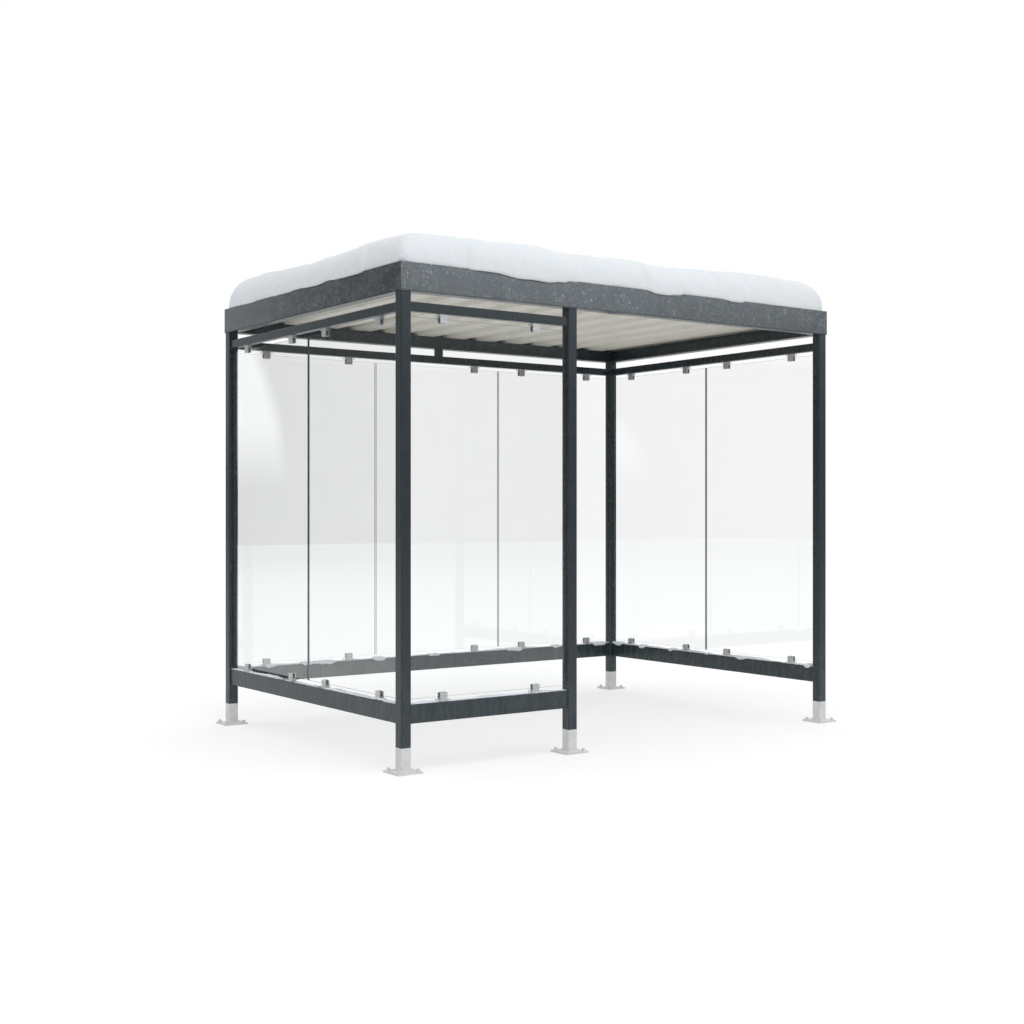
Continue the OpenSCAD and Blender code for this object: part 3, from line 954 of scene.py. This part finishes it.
class SHELTER_OT_frost(bpy.types.Operator):
    """Leaves thin patches of snow on the lower rails, which spill a little over the inner edge"""

    bl_idname = "shelter.frost"
    bl_label = "Snow on the lower rails"

    def execute(self, context):
        sizes, finishes, _ = settings()
        frost = fresh_snow("thin_snow", finishes.frost)
        for k, wall in enumerate(WALLS):
            rail_low, rail_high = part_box("lower_rail_" + wall)
            run = 0 if wall in ("front", "back") else 1
            more, thick, spill = FROST[wall]
            inward = 1 if wall in ("front", "left") else -1
            inner = rail_high[1 - run] if inward > 0 else rail_low[1 - run]
            low, high = rail_low.copy(), rail_high.copy()
            low.z = high.z
            (high if inward > 0 else low)[1 - run] += inward * 2 * sizes.frost_cell

            def shape_at(x, y):
                """Height of the snow over the rail at x, y, and how far it hangs down there."""
                at = Vector((x, y))
                deep = inward * (inner - at[1 - run])
                streaky = (at[run] / 4.0, at[1 - run], 0.2 * k)
                n = rough_noise(streaky, size=0.05, octaves=4, seed=sizes.seed + 3)
                slow = rough_noise((at[run], 3.0 * k, 0), size=0.5, octaves=2, seed=sizes.seed + 4)
                outer = rail_high[1 - run] - rail_low[1 - run] - deep
                rim = min(ease(0.0, OUTER_RIM, outer), ease(0.0, INNER_RIM, deep))
                lumpy = (at[run], 5.0 + k, 0)
                heap = rough_noise(lumpy, size=0.16, octaves=3, seed=sizes.seed + 5) - 0.15
                over = spill * ease(0.0, 0.35, max(0.0, heap))
                rim = max(rim, over * ease(-2 * sizes.frost_cell, 0.0, deep))
                cover = n + 0.7 * slow + more + 0.25 + 1.5 * over
                up = sizes.frost_height * thick * cover * 2.0 * rim
                down = SPILL_DROP * over * ease(0.001, -sizes.frost_cell, deep)
                return min(up, 2 * sizes.frost_height), down if deep < -0.001 else 0.0

            bm = bmesh.new()
            patch(bm, low, high, sizes.frost_cell, shape_at)
            piece("thin_snow_" + wall, bm, frost)
        return {"FINISHED"}


# ---- Stage ----


def seen_rays(tree):
    """1 for rays from the camera or through glass, and 1 for rays in mirror reflections."""
    rays = add(tree, "ShaderNodeLightPath").outputs
    return either(tree, rays["Is Camera Ray"], rays["Is Transmission Ray"]), rays["Is Glossy Ray"]


WHITE = (1, 1, 1, 1)
FLOOR, FLOOR_WORN = (0.80, 0.80, 0.80), (0.78, 0.78, 0.785)
LONGER = 1.15  # the floor's painted shade is that much shorter across the shelter than along it
PAINTED_SHADE_REACH = (0.6, 3.6)  # distances from the middle between which the floor's painted shade fades out
GREYED = (10, 42)  # distances between which the floor greys in mirror reflections
MIRRORED = (0.72, 0.12)  # the floor's brightness in mirror reflections, near and far


def floor_material(s):
    """White floor that keeps a faint real shadow of the shelter, deepened by a painted shade round
    its middle.
    """
    material, tree, shader = finish_of("white_floor", Roughness=1.0, Specular_IOR_Level=0.0)
    worn = spread(tree, grain(tree, place(tree), scale=2, detail=4, rough=0.6), 0.3, 0.7)
    join(tree, shader, Base_Color=blend(tree, worn, FLOOR, FLOOR_WORN))
    seen, glossy = seen_rays(tree)
    middle = {0: place(tree, (1, LONGER, 1))}
    away = add(tree, "ShaderNodeVectorMath", middle, operation="LENGTH").outputs["Value"]
    # painted shade: the floor's glow is dimmed round the middle, under and near the shelter
    level = spread(tree, away, *PAINTED_SHADE_REACH, s.floor_glow - s.floor_painted_shade, s.floor_glow)
    mirrored = product(tree, glossy, spread(tree, away, *GREYED, *MIRRORED))
    direct = calc(tree, "SUBTRACT", 1.0, glossy)
    level = product(tree, level, calc(tree, "ADD", mirrored, direct))
    glow = add(tree, "ShaderNodeEmission", {"Color": WHITE, "Strength": level}).outputs[0]
    matt = add(tree, "ShaderNodeBsdfDiffuse", {"Color": rgba((0.5, 0.5, 0.5))}).outputs[0]
    white = add(tree, "ShaderNodeAddShader", {0: glow, 1: matt}).outputs[0]
    parts = {0: either(tree, seen, glossy), 1: shader.outputs[0], 2: white}
    mixed = add(tree, "ShaderNodeMixShader", parts).outputs[0]
    tree.links.new(mixed, tree.nodes["Material Output"].inputs["Surface"])
    return material


# The sky. Sides are turned from +X towards +Y. Each TOWARD pair says how nearly a direction
# points to that side where a change starts and ends, 1 where it does, and each UP pair how high
# it points, 0 level and 1 straight up.
HIGH_UP = (0.085, 0.30)
SHADE_TOWARD, SHADE_LEAVES = (0.72, 0.9), 0.05
FRONT_SIDE, FRONT_TOWARD, FRONT_GAIN = math.radians(-20), (0.6, 0.92), 2.8
HIGH_LIMIT = 2.4
FAR_SIDE, FAR_TOWARD, FAR_UP = math.radians(98), (0.90, 0.97), (0.13, 0.3)
FAR_STRENGTH = 3.2
GAPS = {math.radians(100): (0.9565, 0.9605), math.radians(126.5): (0.9955, 0.9975)}
GAP_UP, GAP_STRENGTH = (0.0, 0.07), 1.05
MATT_TOWARD, MATT_LEVELS = (-0.3, 1.0), (1.02, 0.96)
GLOSS_TINT, MATT_TINT = (0.95, 0.98, 1, 1), (0.97, 0.985, 1, 1)


def toward(tree, way, side):
    """How nearly the world's direction points to that side: 1 where it does."""
    ways = {0: way, 1: Vector((math.cos(side), math.sin(side), 0))}
    return add(tree, "ShaderNodeVectorMath", ways, operation="DOT_PRODUCT").outputs["Value"]


def mirrored_sky(tree, way, s):
    """Strength of the sky in mirror reflections: dark low down, with two soft gaps, and bright
    higher up except on the shaded side."""
    up = height_of(tree, way)
    shade = spread(tree, toward(tree, way, s.shade_side), *SHADE_TOWARD, 1, SHADE_LEAVES)
    front = spread(tree, toward(tree, way, FRONT_SIDE), *FRONT_TOWARD, 1, FRONT_GAIN)
    high = product(tree, spread(tree, up, *HIGH_UP, 0, s.high_sky), shade, front)
    high = calc(tree, "MINIMUM", high, HIGH_LIMIT)
    far = spread(tree, toward(tree, way, FAR_SIDE), *FAR_TOWARD)
    high = either(tree, high, product(tree, far, spread(tree, up, *FAR_UP), FAR_STRENGTH))
    first, second = (spread(tree, toward(tree, way, side), *near) for side, near in GAPS.items())
    gap = product(tree, either(tree, first, second), spread(tree, up, *GAP_UP), GAP_STRENGTH)
    return either(tree, either(tree, gap, s.street), high)


def background(tree, tint, strength):
    """Output of a Background node."""
    return add(tree, "ShaderNodeBackground", {"Color": tint, "Strength": strength}).outputs[0]


def sky(s):
    """World that looks white, lights matt surfaces evenly, and shows gloss a darker low band."""
    world = bpy.data.worlds.new("studio")
    world.use_nodes = True
    tree = world.node_tree
    tree.nodes.clear()
    way = add(tree, "ShaderNodeTexCoord").outputs["Generated"]
    even = spread(tree, toward(tree, way, s.shade_side), *MATT_TOWARD, *MATT_LEVELS)
    matt = background(tree, MATT_TINT, product(tree, even, s.sky))
    gloss = background(tree, GLOSS_TINT, mirrored_sky(tree, way, s))
    seen, glossy = seen_rays(tree)
    lit = add(tree, "ShaderNodeMixShader", {0: glossy, 1: matt, 2: gloss}).outputs[0]
    parts = {0: seen, 1: lit, 2: background(tree, WHITE, 1.0)}
    full = add(tree, "ShaderNodeMixShader", parts).outputs[0]
    tree.links.new(full, add(tree, "ShaderNodeOutputWorld").inputs["Surface"])
    bpy.context.scene.world = world


SENSOR_WIDTH = 36  # millimetres
# Broad square lamps: place, point they shine at, side, and watts where the sun is 1.
LAMPS = {
    "sky_lamp": ((-0.5, -5.0, 8.0), (0, 0, 1.5), 6.5, 245),
    "far_left_lamp": ((-4.2, 4.2, 2.7), (-1.6, 1.2, 2.2), 2.0, 30),
}


def lamp(name, where, aim, size, energy):
    """Square lamp at where that shines at aim. It lights things but isn't seen or mirrored."""
    data = bpy.data.lights.new(name, "AREA")
    data.size = size
    data.energy = energy
    obj = bpy.data.objects.new(name, data)
    obj.location = where
    obj.rotation_euler = (Vector(aim) - Vector(where)).to_track_quat("-Z", "Y").to_euler()
    obj.visible_camera = False
    obj.visible_glossy = False
    bpy.context.scene.collection.objects.link(obj)


class SHELTER_OT_stage(bpy.types.Operator):
    """Sets the floor, the light and the camera"""

    bl_idname = "shelter.stage"
    bl_label = "Floor, light and camera"

    def execute(self, context):
        s = settings()[2]
        bm = bmesh.new()
        bmesh.ops.create_grid(bm, x_segments=8, y_segments=8, size=s.floor_size / 2)
        mesh = bpy.data.meshes.new("floor")
        bm.to_mesh(mesh)
        bm.free()
        mesh.materials.append(floor_material(s))
        floor = bpy.data.objects.new("floor", mesh)
        floor.location.z = CAD_BOX[0][2]
        context.scene.collection.objects.link(floor)
        sky(s)
        for name, (where, aim, size, watts) in LAMPS.items():
            lamp(name, where, aim, size, watts * s.sun)
        data = bpy.data.cameras.new("camera")
        data.lens = s.lens
        data.sensor_width = SENSOR_WIDTH
        camera = bpy.data.objects.new("camera", data)
        camera.location = s.camera_place
        camera.rotation_euler = (math.pi / 2, 0, -s.camera_turn)
        context.scene.collection.objects.link(camera)
        context.scene.camera = camera
        context.scene.view_settings.view_transform = "Standard"
        return {"FINISHED"}


# ---- Add-on ----

OPERATORS = (
    SHELTER_OT_stage,
    SHELTER_OT_steel,
    SHELTER_OT_feet,
    SHELTER_OT_glass,
    SHELTER_OT_clamps,
    SHELTER_OT_roof,
    SHELTER_OT_snow,
    SHELTER_OT_frost,
)
SETTINGS = {
    "shelter_sizes": ShelterSizes,
    "shelter_finishes": ShelterFinishes,
    "shelter_stage": ShelterStage,
}


class SHELTER_PT_panel(bpy.types.Panel):
    """Lists the shelter's settings and operators"""

    bl_idname = "SHELTER_PT_panel"
    bl_label = "Smoking Shelter"
    bl_space_type = "VIEW_3D"
    bl_region_type = "UI"
    bl_category = "Shelter"

    def draw(self, context):
        """Shows each group of settings in a box, and a button for each operator."""
        for key, group in SETTINGS.items():
            box = self.layout.box()
            values = getattr(context.scene, key)
            for name in group.__annotations__:
                box.prop(values, name)
        for operator in OPERATORS:
            self.layout.operator(operator.bl_idname)


CLASSES = (*SETTINGS.values(), *OPERATORS, SHELTER_PT_panel)


def register():
    """Registers the classes and puts the settings on the scene."""
    for cls in CLASSES:
        bpy.utils.register_class(cls)
    for key, group in SETTINGS.items():
        setattr(bpy.types.Scene, key, PointerProperty(type=group))


def unregister():
    """Takes the settings and the classes away again."""
    for key in SETTINGS:
        delattr(bpy.types.Scene, key)
    for cls in reversed(CLASSES):
        bpy.utils.unregister_class(cls)


def main():
    """Builds the looks."""
    register()
    for operator in OPERATORS:
        group, name = operator.bl_idname.split(".")
        getattr(getattr(bpy.ops, group), name)()


if __name__ == "__main__":
    main()
